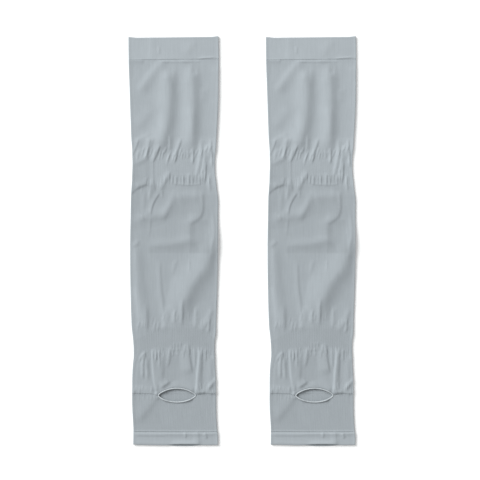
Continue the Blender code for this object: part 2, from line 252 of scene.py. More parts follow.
    Crease([(-14, 349), (-20, 354.6), (-27, 363), (-37, 373)], 8.0, 4.5, 0.7, 0.25),
    Crease([(-24, 366), (-31, 371), (-42, 374)], 5.0, 4.0, 0.35),
    # Hem.
    Crease([(44, 385.2), (0, 385.3), (-41, 385)], 0.9, 0.7, 0.5, 0.06),
    Crease([(44, 387.2), (0, 387.5), (-41, 387.2)], 0.9, 2.8, 0.72, 0.06),
    Crease([(-6, 389.3), (-24, 389.3), (-40, 389.3)], 0.8, 0.7, 0.2, 0.15),
    Crease([(-2, 397.8), (-20, 397.8), (-40, 397.5)], 0.9, 0.9, 0.25, 0.15),
    Crease([(11, 385), (11.5, 393)], 1.6, 1.1, 0.45),
    Crease([(22, 384), (23, 392), (24, 401)], 4.0, 2.2, 0.5, 0.2),
    Crease([(29, 386), (31, 390), (32, 394)], 1.8, 1.4, 0.65),
    Crease([(28, 398.8), (10, 398.8), (-7, 398.8)], 3.0, 3.0, 1.1),
]

# Rows of small pleats, where the plain knit meets an elastic band. An edge's points are across and
# station, the pleats start there, and each runs down by "reach" with "lean" to the right for each mm.
Pleats = namedtuple("Pleats", "edge reach lean pitch height")
PLEAT_ROWS = [
    Pleats([(-38, 110), (-19, 108), (0, 110), (20, 109), (38, 106)], 12, -0.3, 2.3, 0.34),
    Pleats([(-36, 141), (-19, 137), (0, 134), (20, 133), (38, 133)], 12, -0.08, 2.2, 0.24),
    Pleats([(-36, 278), (-20, 274), (0, 268), (20, 270), (38, 279)], 10, -0.1, 2.5, 0.22),
    Pleats([(-38, 311), (-22, 306), (0, 302), (20, 302), (38, 304)], 12, 0.0, 2.0, 0.32),
    Pleats([(-39, 341), (-17, 341)], 8, 0.0, 1.7, 0.3),
    Pleats([(22, 339), (41, 339)], 10, 0.05, 1.8, 0.4),
    Pleats([(-40, 348), (-17, 348)], 7, 0.0, 2.0, 0.2),
    Pleats([(22, 348), (41, 348)], 7, 0.0, 2.0, 0.2),
]
PLEAT_SEED = 7
PLEAT_SHADE = 0.7  # the shaded side's width, as a share of the lit one's
# No two pleats of a row are the same. Each of these is drawn between two values: place and width as
# shares of the pitch, start in mm, lean to add to the row's, reach and height as shares of the row's.
Uneven = namedtuple("Uneven", "place start reach lean width height")
UNEVEN = Uneven((-0.35, 0.35), (-3, 2), (0.6, 1.2), (-0.1, 0.1), (0.3, 0.5), (0.4, 1.4))
CREASE_REACH = 2.6  # times a fold's width, past which it is level
EDGE_SHARE = 0.8  # of a fold's height is left at a side edge
EDGE_RUN = 8.0  # and the rest of it goes over this length
BEAD = 0.3  # the pressed side folds stand up in a low bead
BEAD_IN, BEAD_WIDTH = 0.4, 1.6  # from the edge to its middle, and from there to its foot
SOFTNESS = 0.2  # of the turn where a furrow would go below the flat cloth

# The lower layer carries weak traces of the same folds, the other way round.
TRACE_SHARE = 0.12
TRACE_MOST = 0.35
TRACE_EDGE = 1 / 12  # share of the width at each side over which they die away
TRACE_FREE, TRACE_RUN = 6.0, 8.0  # none this near to the thumb seam, and in full past the run

# Zones of another knit or another tension, and patches of painted shade and painted light. Each lies
# between two lines of across and station points, with soft edges of "blur" mm. Its tone is how pale it
# is drawn beside the plain knit, and its rib how strongly it is ribbed. A zone that is knitted in goes all
# round the sleeve, and the others are painted shade and painted light of broad folds, on the upper layer
# only.
Zone = namedtuple("Zone", "top bottom blur tone rib knitted_in", defaults=[0.0, False])
WRIST_TOP = [(-40, 297), (-26, 290), (-19, 284), (-10, 284), (-2, 279), (9, 279), (19, 281), (27, 285),
             (34, 288), (40, 296)]
WRIST_FOOT = [(-40, 317), (-30, 315), (-22, 310), (-17, 306), (-10, 306), (-4, 303), (5, 304), (10, 300),
              (15, 303), (25, 307), (31, 309), (40, 312)]
ZONES = [
    # Zones not marked knitted in are painted shade (below 1) and painted light (above 1) of broad folds.
    Zone([(9, 22), (24, -9)], [(0, 22)], 3.0, 0.978),
    Zone([(-26, 22), (-25, -9), (-18.5, -9), (-17.5, 22)], [(0, 22)], 1.0, 1.018),
    Zone([(14, 42), (18, 26), (24, 24), (27, 42)], [(0, 42)], 4.0, 0.955),
    Zone([(-9, 48), (-5, 33), (3, 34), (6, 48)], [(0, 48)], 5.0, 0.97),
    Zone([(-30, 118), (-19, 121), (-7, 124), (1, 124), (15, 121), (40, 122)], [(0, 145)],
         2.0, 0.98, 0.12, True),  # elbow band
    Zone([(-42, 125), (-30, 120), (-21, 122), (-20, 146)], [(-42, 150), (-20, 146)], 2.0, 0.945),
    Zone([(22, 136), (25, 98)], [(29, 136), (33, 154)], 4.0, 1.045),
    Zone([(-42, 134), (-26, 136), (-24, 144)], [(-42, 150), (-24, 144)], 3.0, 0.97),
    Zone([(-6, 146), (-4, 135), (28, 134), (31, 146)], [(0, 144)], 1.5, 0.94),
    Zone([(0, 145)], [(0, 211)], 3.0, 0.925, 0.0, True),  # below the elbow
    Zone([(-42, 152), (-34, 150), (-33, 172)], [(-33, 172)], 2.0, 0.965),
    Zone([(-4, 176), (-3, 160), (5, 157), (25, 158), (27, 175)], [(-4, 176), (5, 173), (27, 172)],
         3.0, 0.965),
    Zone([(-42, 180), (-8, 176)], [(-42, 187), (-24, 187), (-8, 182), (-7, 176)], 2.0, 0.965),
    Zone([(15, 211), (16, 182), (33, 178), (35, 211)], [(0, 211)], 3.0, 0.92),
    Zone([(-25, 211), (-24, 204), (-8, 204), (2, 201), (22, 201), (26, 211)], [(0, 211)], 1.5, 0.955),
    Zone([(0, 211)], [(0, 284)], 3.0, 0.935, 0.0, True),  # forearm
    Zone(WRIST_TOP, WRIST_FOOT, 2.0, 0.96, 0.15, True),  # wrist band
    Zone([(0, 284)], [(0, 349)], 4.0, 0.915, 0.0, True),  # below it
    Zone([(-37, 244), (-29, 344)], [(-37, 344), (-29, 244)], 5.0, 1.06),
    Zone([(2, 303), (5, 282), (30, 288), (34, 303)], [(0, 303)], 3.0, 0.98),
    Zone([(-13, 284), (-11, 262), (-1, 260), (1, 284)], [(0, 284)], 4.0, 1.06),
    Zone([(-4, 308), (-3, 300), (10, 299), (11, 306)], [(-4, 308), (11, 306)], 2.0, 0.955),
    Zone([(-17, 344), (-14, 318), (-4, 311), (4, 310), (7, 342)], [(0, 342)], 3.0, 0.955),
    Zone([(-42, 346), (-34, 344), (-28, 349)], [(0, 349)], 2.0, 0.96),
    Zone([(0, 349)], [(0, 386)], 1.0, 0.885, 0.15, True),  # hand cuff
    Zone([(-42, 366), (-20, 364), (-10, 378)], [(-42, 379), (-10, 378)], 3.0, 0.975),
    Zone([(0, 386)], [(0, 410)], 0.5, 0.935, 0.0, True),  # hem
    Zone([(23, 410), (24, 386)], [(0, 410)], 1.0, 0.975),
]

# The knit: its wales run along the sleeve, and its courses round it. Real ones are usually 0.5 to
# 0.7 mm apart, and these are drawn coarser so that they show.
WALE_PITCH = 0.95
COURSE_PITCH = 0.8
RIB_PITCH = 2.4
JERSEY_HEX = "A4ACB1"
NYLON_IOR = 1.53
STREAKS_PER_MM = (0.9, 0.05, 1.0)  # about 1 mm wide and 20 mm long
CLOUDS_PER_MM = 0.09  # about 11 mm across
NOISE_RANGE = {1: 0.3, 2: 0.7}  # noise hardly ever leaves this range


def cubic(values, slopes, row, t, span=1.0):
    """The cubic between a row and the next, with their values and slopes, as t runs from 0 to 1."""
    from_start = (1 + 2 * t) * (1 - t) ** 2 * values[row] + t * (1 - t) ** 2 * span * slopes[row]
    from_end = t * t * (3 - 2 * t) * values[row + 1] + t * t * (t - 1) * span * slopes[row + 1]
    return from_start + from_end


def half_width(station, side):
    """The outline's half width: a cubic between the table's rows, its slopes from their neighbours."""
    stations = np.array([row.station for row in OUTLINE], float)
    widths = np.array([getattr(row, side) for row in OUTLINE])
    slopes = np.gradient(widths, stations)
    row = np.clip(np.searchsorted(stations, station) - 1, 0, len(OUTLINE) - 2)
    span = stations[row + 1] - stations[row]
    return cubic(widths, slopes, row, np.clip((station - stations[row]) / span, 0.0, 1.0), span)


def smooth_step(value):
    """From 0 to 1 as the value does, level at both ends: 3v² - 2v³."""
    value = np.clip(value, 0.0, 1.0)
    return value * value * (3 - 2 * value)


def plateau(value, centre, reach):
    """1 near the centre and 0 far from it, flat in the middle: exp(-((value - centre) / reach)⁴)."""
    return np.exp(-(((value - centre) / reach) ** 4))


def path_through(points, count=28):
    """A smooth curve through a few points: the same cubic as the outline's, on each stretch."""
    points = np.asarray(points, float)
    slopes = np.gradient(points, axis=0)
    place = np.linspace(0, len(points) - 1, count)
    row = np.minimum(place.astype(int), len(points) - 2)
    return cubic(points, slopes, row, (place - row)[:, None])


def crease_height(across, station, crease):
    """One fold: height · exp(-(distance from its path / width)²), rising and dying away along the path.

    The width is "lit" on the walker's right of the path and "shade" on the left.
    """
    height = np.zeros(np.broadcast(across, station).shape)
    path = path_through(crease.path)
    reach = CREASE_REACH * max(crease.lit, crease.shade)
    low, high = path.min(axis=0) - reach, path.max(axis=0) + reach
    near = (across > low[0]) & (across < high[0]) & (station > low[1]) & (station < high[1])
    here = np.stack([across[near], station[near]], axis=1)[:, None]
    start, run = path[:-1], np.diff(path, axis=0)
    length = np.hypot(*run.T)
    before = np.cumsum(length) - length
    t = np.clip(((here - start) * run).sum(-1) / length**2, 0, 1)
    away = here - start - t[..., None] * run
    distance = np.hypot(away[..., 0], away[..., 1])
    row = np.arange(len(here))
    nearest = distance.argmin(1)
    run, away = run[nearest], away[row, nearest]
    along = (before[nearest] + t[row, nearest] * length[nearest]) / length.sum()
    on_right = run[:, 0] * away[:, 1] - run[:, 1] * away[:, 0] > 0
    width = np.where(on_right, crease.lit, crease.shade)
    taper = smooth_step(np.minimum(along, 1 - along) / crease.fade)
    height[near] = crease.height * taper * np.exp(-((distance[row, nearest] / width) ** 2))
    return height


def pleats_of(row, draw):
    """The creases of one row of pleats, uneven in place, length, width and height."""
    edge = np.asarray(row.edge, float)
    count = int((edge[-1, 0] - edge[0, 0]) / row.pitch)
    across = np.linspace(edge[0, 0], edge[-1, 0], count) + draw.uniform(*UNEVEN.place, count) * row.pitch
    top = np.interp(across, edge[:, 0], edge[:, 1]) + draw.uniform(*UNEVEN.start, count)
    reach = row.reach * draw.uniform(*UNEVEN.reach, count)
    lean = row.lean + draw.uniform(*UNEVEN.lean, count)
    width = row.pitch * draw.uniform(*UNEVEN.width, count)
    height = row.height * draw.uniform(*UNEVEN.height, count)
    return [
        Crease([(x, s), (x + slant * down, s + down)], wide, PLEAT_SHADE * wide, high)
        for x, s, down, slant, wide, high in zip(across, top, reach, lean, width, height)
    ]


draw = np.random.default_rng(PLEAT_SEED)
ALL_CREASES = CREASES + [crease for row in PLEAT_ROWS for crease in pleats_of(row, draw)]


def lift(across, station):
    """How far the upper layer stands above its flat place: a bead along each side and the sum of its
    folds, lower near the sides, all kept above zero by (h + √(h² + softness²)) / 2."""
    to_edge = np.minimum(half_width(station, "left") + across, half_width(station, "right") - across)
    folds = sum(crease_height(across, station, crease) for crease in ALL_CREASES)
    height = folds * (EDGE_SHARE + (1 - EDGE_SHARE) * smooth_step(to_edge / EDGE_RUN))
    height = height + BEAD * np.exp(-(((to_edge - BEAD_IN) / BEAD_WIDTH) ** 2))
    return (height + np.sqrt(height**2 + SOFTNESS**2)) / 2


# The thumb hole is the stretch of the thumb seam that is left open, and the knit bends round it.
HOLE_CENTRE = 2.8
HOLE_HALF_LENGTH = 18.2  # to the middle of its binding
HOLE_ABOVE, HOLE_BELOW = 7.1, 6.45  # from the line between its two tips
HOLE_TAPER = 0.45  # share of that reach which dies away faster towards the tips
HOLE_POWER = 1.2  # and how much faster
HOLE_POINTS = 1441
HOLE_DIP = 1.4  # its tips lie this far below the seam
DIP_RUN = 8.0  # and the seam comes up again over this length
BINDING_RADIUS = 0.67
HOLE_GAP = 0.08  # from the binding to the knit
HOLE_INFLUENCE = 26.0  # how far from the seam the knit still bends round it
INFLUENCE_POWER = 1.5

# The sleeve's two ends aren't quite straight.
EAR = 0.75  # the welt's upper corners stand up
EAR_FROM, EAR_RUN, EAR_DEPTH = 36.0, 8.0, 9.0  # from this far across, and this far down
TILT = 0.011  # and its right end lies higher, by this share of the distance
TILT_END, TILT_RUN = 45.0, 25.0  # dying away over the run, down to this station
MOUTH = 1.2  # the hem's upper layer stops short of the lower one, round the mouth's middle
MOUTH_CENTRE, MOUTH_WIDTH, MOUTH_RUN = 10.0, 14.5, 12.0
LIP = 0.9  # and the lower layer reaches this much farther there
HEM_SHORT = 1.1  # the hem's middle stops this much above the full length
BOW = 0.6  # and its corners this much higher up than its middle
BOW_CENTRE, BOW_HALF, BOW_RUN = 6.0, 42.0, 14.0


def hole_outline(outwards):
    """The line round the thumb hole, from its right tip over its upper arc and back, moved out along
    its normal. It is half-length·cos(θ) across and reach·s·(1 - taper + taper·s^power) along the
    sleeve, where s is |sin(θ)|."""
    theta = np.linspace(0, 2 * np.pi, HOLE_POINTS)
    s = np.abs(np.sin(theta))
    across = HOLE_CENTRE + HOLE_HALF_LENGTH * np.cos(theta)
    along = np.where(theta < np.pi, -HOLE_ABOVE, HOLE_BELOW) * s
    along = along * (1 - HOLE_TAPER + HOLE_TAPER * s**HOLE_POWER)
    run_across, run_along = np.gradient(across), np.gradient(along)
    run = np.hypot(run_across, run_along)
    return across - outwards * run_along / run, along + outwards * run_across / run


def at_the_end(station, run):
    """From 0 to 1 over the last stretch of the sleeve."""
    return smooth_step((station - LENGTH + run) / run)


def at_the_mouth(across, station):
    """From 0 to 1 where the hem's mouth stands open."""
    return plateau(across, MOUTH_CENTRE, MOUTH_WIDTH) * at_the_end(station, MOUTH_RUN)


def drift(across, station):
    """How far a place of the upper layer is pushed down the sleeve: away from the thumb hole's line,
    less and less with the distance from the seam, and up at the mouth."""
    edge_across, edge_along = hole_outline(BINDING_RADIUS + HOLE_GAP)
    half = len(edge_across) // 2 + 1
    above = np.interp(across, edge_across[:half][::-1], edge_along[:half][::-1], left=0, right=0)
    below = np.interp(across, edge_across[half - 1:], edge_along[half - 1:], left=0, right=0)
    past_tip = np.abs(across - HOLE_CENTRE) - HOLE_HALF_LENGTH
    dip = HOLE_DIP * (1 - smooth_step(past_tip / DIP_RUN))
    fade = np.clip(1 - np.abs(station - THUMB_SEAM) / HOLE_INFLUENCE, 0, 1) ** INFLUENCE_POWER
    bend = fade * (np.where(station < THUMB_SEAM, above, below) + dip)
    return bend - MOUTH * at_the_mouth(across, station)


def laid_point(share, angle, station, wall, depth):
    """Where a place of the knit lies, in mm, as (across, station, height).

    A section of the tube is two level layers and two blunt folds: across = share of the way between
    the side folds ± r·|cos(angle)|^power·(1 + overhang·sin(angle)) and height = radius + r·sin(angle),
    where r is the fold's outer radius less the depth into the wall. The layers are then lifted by
    their folds and pushed along.
    """
    share, angle, station, wall, depth = np.broadcast_arrays(share, angle, station, wall, depth)
    radius = wall + LAYER_GAP / 2
    from_left = radius - half_width(station, "left")
    across = from_left + share * (half_width(station, "right") - radius - from_left)
    upper = np.isclose(angle, np.pi / 2)
    lower = np.isclose(np.sin(angle), -1)
    along = station + np.where(upper, drift(across, station), 0.0)
    along = along + np.where(lower, LIP * at_the_mouth(across, station), 0.0)
    rise = np.zeros(across.shape)
    rise[~lower] = lift(across[~lower], along[~lower]) * (1 + np.sin(angle[~lower])) / 2
    trace = np.minimum(TRACE_SHARE * lift(-across[lower], along[lower]), TRACE_MOST)
    trace = trace * smooth_step((np.abs(along[lower] - THUMB_SEAM) - TRACE_FREE) / TRACE_RUN)
    rise[lower] = trace * smooth_step(np.minimum(share[lower], 1 - share[lower]) / TRACE_EDGE)
    corner = smooth_step((np.abs(across) - EAR_FROM) / EAR_RUN)
    along = along - EAR * corner * smooth_step((EAR_DEPTH - station) / EAR_DEPTH)
    along = along - TILT * across * smooth_step((TILT_END - station) / TILT_RUN)
    bow = BOW * ((across - BOW_CENTRE) / BOW_HALF) ** 2
    along = along - (HEM_SHORT + bow) * at_the_end(station, BOW_RUN)
    blunt = np.abs(np.cos(angle)) ** FOLD_POWER * (1 + FOLD_OVERHANG * np.sin(angle))
    across = across + (radius - depth) * np.sign(np.cos(angle)) * blunt
    return np.stack([across, along, radius + (radius - depth) * np.sin(angle) + rise], axis=-1)


def columns_round():
    """The columns of a section, from the middle of the lower layer round to the right and back to it.

    Gives each one's share across, its angle on the side folds, and its place along the girth in mm,
    to which the folds add their angle in radians, because their radius is about 1 mm.
    """
    half = np.linspace(0.5, 1, LOWER_COLUMNS // 2)
    turn = np.radians(SIDE_TURNS_DEG)
    share = [half, np.ones(len(turn)), np.linspace(1, 0, UPPER_COLUMNS), np.zeros(len(turn)), 1 - half[::-1]]
    angle = [np.full(len(half), -np.pi / 2), turn, np.full(UPPER_COLUMNS, np.pi / 2), np.pi - turn[::-1],
             np.full(len(half), 1.5 * np.pi)]
    share, angle = np.concatenate(share), np.concatenate(angle)
    share, angle = share[:-1], angle[:-1]  # the last column is the first one again
    steps = MEAN_WIDTH * np.abs(np.diff(share, append=0.5)) + np.diff(angle, append=1.5 * np.pi)
    return share, angle, np.concatenate([[0], np.cumsum(steps)])


def stations_between(start, end):
    """Rows from start to end, close at the elastic bands and the seams: even steps of the sum of
    1 / spacing."""
    fine = np.linspace(start, end, SPACING_STEPS)
    at_bands = sum(plateau(fine, *stretch) for stretch in CLOSE_STRETCHES)
    at_seams = plateau(fine, WELT_END, SEAM_STRETCH) + plateau(fine, HEM_START, SEAM_STRETCH)
    spacing = WIDE_ROWS - (WIDE_ROWS - CLOSE_ROWS) * np.clip(at_bands, 0, 1)
    spacing = spacing - (WIDE_ROWS - SEAM_ROWS) * at_seams
    total = np.concatenate([[0], np.cumsum(np.diff(fine) / spacing[1:])])
    return np.interp(np.linspace(0, total[-1], int(total[-1]) + 2), total, fine)


def closed_grid(rows, columns):
    """Quads of a grid that closes on itself both ways, with their outer side outwards."""
    row, column = np.meshgrid(np.arange(rows), np.arange(columns), indexing="ij")
    after, below = (column + 1) % columns, (row + 1) % rows
    row, below = row * columns, below * columns
    return np.stack([row + column, row + after, below + after, below + column], axis=-1).reshape(-1, 4)


def tone_and_rib(across, station, height):
    """How pale and how ribbed the knit is: the product of the zones' tones, painted fold shading among them,
    and the sum of their ribs.

    A zone holds between its two lines, with soft edges, and dies out where the lines meet.
    """
    tone, rib = np.ones(across.shape), np.zeros(across.shape)
    on_top = smooth_step(height / LAYER_GAP - 1)
    for zone in ZONES:
        top, bottom = (np.interp(across, *np.array(line, float).T) for line in (zone.top, zone.bottom))
        inside = np.minimum(station - top, bottom - station)
        share = smooth_step(0.5 + inside / zone.blur) * smooth_step((bottom - top) / zone.blur)
        # Painted shade and painted light of folds go on the upper layer only.
        if not zone.knitted_in:
            share *= on_top
        tone *= 1 - (1 - zone.tone) * share
        rib += zone.rib * share
    return {"tone": tone, "rib": rib}


def flat_tube(start, end, wall):
    """A flattened tube's wall as one closed grid: down its outside, round a rim, up its inside and back."""
    first, last = start + RIM_REACH, end - RIM_REACH
    outer = stations_between(first, last)
    middle = np.linspace(last - RIM_INSIDE, first + RIM_INSIDE, max(len(outer) // INNER_STEP, 2))
    inner = np.concatenate([[last], middle, [first]])
    turn = np.linspace(-np.pi / 2, np.pi / 2, RIM_ROWS + 2)[1:-1]
    rounding = RIM_REACH * np.cos(turn)
    into = wall / 2 * np.sin(turn)
    station = np.concatenate([outer, last + rounding, inner, first - rounding])
    depth = np.concatenate([0 * outer, wall / 2 + into, 0 * inner + wall, wall / 2 - into])
    share, angle, girth = columns_round()
    points = laid_point(share[None], angle[None], station[:, None], wall, depth[:, None])
    return points, station, girth


def on_sleeve(name, points, faces, axis, material):
    """A piece from points in mm, as across, station and height, laid on the sleeve with this axis."""
    place = points.reshape(-1, 3) * (MM, -MM, MM) + (axis, LENGTH / 2 * MM, 0)
    mesh = bpy.data.meshes.new(name)
    mesh.from_pydata(place.tolist(), [], faces)
    mesh.shade_smooth()
    mesh.materials.append(material)
    return put_in_scene(name, mesh)


def knit_on_sleeve(name, grid, axis, material):
    """One piece of knit, with a "cloth" UV map in mm round and along it, and at each point its zones'
    paleness, painted shade and painted light of folds among it, and their rib."""
    points, station, girth = grid
    rows, columns = points.shape[:2]
    piece = on_sleeve(name, points, closed_grid(rows, columns).tolist(), axis, material)
    row, column = np.divmod(np.arange(rows * columns), columns)
    u = np.stack([girth[column], girth[column + 1], girth[column + 1], girth[column]], axis=-1)
    below = (row + 1) % rows
    v = np.stack([station[row], station[row], station[below], station[below]], axis=-1)
    layer = piece.data.uv_layers.new(name="cloth")
    layer.uv.foreach_set("vector", np.stack([u, v], axis=-1).ravel())
    for label, values in tone_and_rib(*np.moveaxis(points, -1, 0)).items():
        attribute = piece.data.attributes.new(label, "FLOAT", "POINT")
        attribute.data.foreach_set("value", values.ravel())
    return piece


def linear(hex_colour):
    """An sRGB hex colour as linear values: c / 12.92 up to 0.04045, and ((c + 0.055) / 1.055)^2.4 above."""
    srgb = np.array([int(hex_colour[i:i + 2], 16) for i in (0, 2, 4)]) / 255
    return (*np.where(srgb <= 0.04045, srgb / 12.92, ((srgb + 0.055) / 1.055) ** 2.4), 1.0)


def connect(tree, target, inputs):
    """Sets each input of a node, or links it if it is given a node or a socket.

    Some go by number: a Math node's operands, and a Map Range node's value, 0, the range that it comes
    from, 1 and 2, and the range that it goes to, 3 and 4.
    """
    for name, value in inputs.items():
        if isinstance(value, bpy.types.Node):
            value = value.outputs[0]
        if isinstance(value, bpy.types.NodeSocket):
            tree.links.new(value, target.inputs[name])
        else:
            target.inputs[name].default_value = value


def node(tree, kind, inputs, **settings):
    """Adds a node with its settings, and connects its inputs."""
    added = tree.nodes.new(kind)
    for name, value in settings.items():
        setattr(added, name, value)
    connect(tree, added, inputs)
    return added


def knitted_nylon(name, hex_colour, relief_mm):
    """Nylon and elastane, circular-knitted fine. To the eye it is matt, with a faint sheen where it turns
    away, rows of V-shaped stitches with painted shade in their grooves, and thin streaks along the wales
    where the yarns differ a little. Its paleness also carries the zones' painted shade and painted light."""
    material = bpy.data.materials.new(name)
    material.use_nodes = True
    tree = material.node_tree
    cloth = node(tree, "ShaderNodeUVMap", {}, uv_map="cloth")
    parts = node(tree, "ShaderNodeSeparateXYZ", {0: cloth})
    round_it, along = parts.outputs[0], parts.outputs[1]
    # Each wale is a column of V stitches: the courses are waves that slant up to its middle.
    from_wale = node(tree, "ShaderNodeMath", {0: round_it, 1: WALE_PITCH / 2}, operation="PINGPONG")
    wale = node(tree, "ShaderNodeMapRange", {0: from_wale, 2: WALE_PITCH / 2},
                interpolation_type="SMOOTHSTEP")
    slanted = node(tree, "ShaderNodeMath", {0: along, 1: from_wale}, operation="SUBTRACT")
    phase = node(tree, "ShaderNodeMath", {0: slanted, 1: 2 * np.pi / COURSE_PITCH}, operation="MULTIPLY")
    course = node(tree, "ShaderNodeMath", {0: phase}, operation="SINE")
    stitch = node(tree, "ShaderNodeMath", {0: course, 1: 0.3, 2: 0.7}, operation="MULTIPLY_ADD")
    knit = node(tree, "ShaderNodeMath", {0: wale, 1: stitch}, operation="MULTIPLY")
    turn = node(tree, "ShaderNodeMath", {0: round_it, 1: 2 * np.pi / RIB_PITCH}, operation="MULTIPLY")
    ribs = node(tree, "ShaderNodeMath", {0: turn}, operation="SINE")
    rib = node(tree, "ShaderNodeAttribute", {}, attribute_name="rib").outputs["Fac"]
    height = node(tree, "ShaderNodeMath", {0: ribs, 1: rib, 2: knit}, operation="MULTIPLY_ADD")
    bump = node(tree, "ShaderNodeBump", {"Height": height, "Distance": relief_mm * MM, "Strength": 1.0})
    # Streaks, drawn out along the wales, a softer cloudiness, and rougher grooves darkened with painted
    # shade.
    drawn_out = node(tree, "ShaderNodeMapping", {0: cloth, "Scale": STREAKS_PER_MM})
    streaks = node(tree, "ShaderNodeTexNoise", {"Vector": drawn_out, "Scale": 1.0, "Detail": 3.0})
    clouds = node(tree, "ShaderNodeTexNoise", {"Vector": cloth, "Scale": CLOUDS_PER_MM, "Detail": 2.0})
    # The zones' paleness, with the painted shade and painted light of broad folds on the upper layer.
    tone = node(tree, "ShaderNodeAttribute", {}, attribute_name="tone").outputs["Fac"]
    streaked = node(tree, "ShaderNodeMapRange", {0: streaks, **NOISE_RANGE, 3: 0.965, 4: 1.035})
    clouded = node(tree, "ShaderNodeMapRange", {0: clouds, **NOISE_RANGE, 3: 0.985, 4: 1.015})
    shaded = node(tree, "ShaderNodeMapRange", {0: knit, 3: 0.95, 4: 1.02})
    pale = node(tree, "ShaderNodeMath", {0: tone, 1: streaked}, operation="MULTIPLY")
    pale = node(tree, "ShaderNodeMath", {0: pale, 1: clouded}, operation="MULTIPLY")
    pale = node(tree, "ShaderNodeMath", {0: pale, 1: shaded}, operation="MULTIPLY")
    dyed = node(tree, "ShaderNodeVectorMath", {0: linear(hex_colour)[:3], "Scale": pale},
                operation="SCALE")
    matt = node(tree, "ShaderNodeMapRange", {0: knit, 3: 0.86, 4: 0.74})
    connect(tree, tree.nodes["Principled BSDF"], {
        "Base Color": dyed, "Roughness": matt, "Normal": bump, "Metallic": 0.0, "IOR": NYLON_IOR,
        "Specular IOR Level": 0.3, "Sheen Weight": 0.12, "Sheen Roughness": 0.5,
    })
    return material


jersey = knitted_nylon("nylon_jersey_circular_knit", JERSEY_HEX, relief_mm=0.10)
tube_grid = flat_tube(WELT_END + SEAM_GAP / 2, THUMB_SEAM - SEAM_GAP / 2, TUBE_WALL)
for side, axis in SLEEVES.items():
    tube = knit_on_sleeve(f"{side}_tube_knit", tube_grid, axis, jersey)
    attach(tube, "root")
    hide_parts(f"{side}_arm_tube")

# ------------------------------------------------------------------------------
# Hand cuffs. A short ribbed tube of the same knit, from the thumb seam to the hem, that holds the
# sleeve on the hand. It bends round the lower half of the thumb hole.

cuff_grid = flat_tube(THUMB_SEAM + SEAM_GAP / 2, HEM_START - SEAM_GAP / 2, TUBE_WALL)
for side, axis in SLEEVES.items():
    cuff = knit_on_sleeve(f"{side}_cuff_knit", cuff_grid, axis, jersey)
    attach(cuff, "root")
    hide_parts(f"{side}_hand_cuff")

# ------------------------------------------------------------------------------
# Welts and hems. Each end of the sleeve is turned in and caught down, so it is two plies thick,
# smoother and a little paler than the single knit.

WELT_WALL = 0.61
HEM_WALL = 0.72
TURNED_HEX = "A8B0B5"
turned = knitted_nylon("nylon_jersey_two_plies_turned", TURNED_HEX, relief_mm=0.07)
welt_grid = flat_tube(0.0, WELT_END - SEAM_GAP / 2, WELT_WALL)
hem_grid = flat_tube(HEM_START + SEAM_GAP / 2, LENGTH, HEM_WALL)
for side, axis in SLEEVES.items():
    welt = knit_on_sleeve(f"{side}_welt_turned", welt_grid, axis, turned)
    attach(welt, "root")
    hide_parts(f"{side}_welt")
    hem = knit_on_sleeve(f"{side}_hem_turned", hem_grid, axis, turned)
    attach(hem, "root")
    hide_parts(f"{side}_hem")

# ------------------------------------------------------------------------------
# Seam stitches. Small slanting loops of textured nylon thread all round the sleeve, where the welt
# and the hem are caught down and where the cuff joins the arm tube. They bridge the seams' gaps.

THREAD_RADIUS = 0.13
THREAD_SIDES = 6
STITCH_PITCH = 1.7
STITCH_POINTS = 7
STITCH_REACH = 0.75  # to each side of the seam
STITCH_SLANT = 0.6
STITCH_PROUD = 0.1  # how high it arches
STITCH_SUNK = 0.12  # how deep in the knit its two ends lie
PAST_TIP = 2.5  # the thumb seam's stitches stop this far from the hole's tips
Seam = namedtuple("Seam", "name station wall_above wall_below open_half")
SEAMS = [
    Seam("welt_stitches", WELT_END, WELT_WALL, TUBE_WALL, 0.0),
    Seam("thumb_seam_stitches", THUMB_SEAM, TUBE_WALL, TUBE_WALL, HOLE_HALF_LENGTH + PAST_TIP),
    Seam("hem_stitches", HEM_START, TUBE_WALL, HEM_WALL, 0.0),
]


def rings_round(centre, radius, sides):
    """Rings of points about lines of points (line, point, xyz): centre + radius·(cos·side + sin·up)."""
    along = np.gradient(centre, axis=1)
    along /= np.linalg.norm(along, axis=-1, keepdims=True)
    side = np.cross(along, (0.0, 0.0, 1.0))
    side /= np.linalg.norm(side, axis=-1, keepdims=True)
    up = np.cross(side, along)
    turn = np.arange(sides) * 2 * np.pi / sides
    ring = side[..., None, :] * np.cos(turn)[:, None] + up[..., None, :] * np.sin(turn)[:, None]
    return centre[..., None, :] + radius * ring


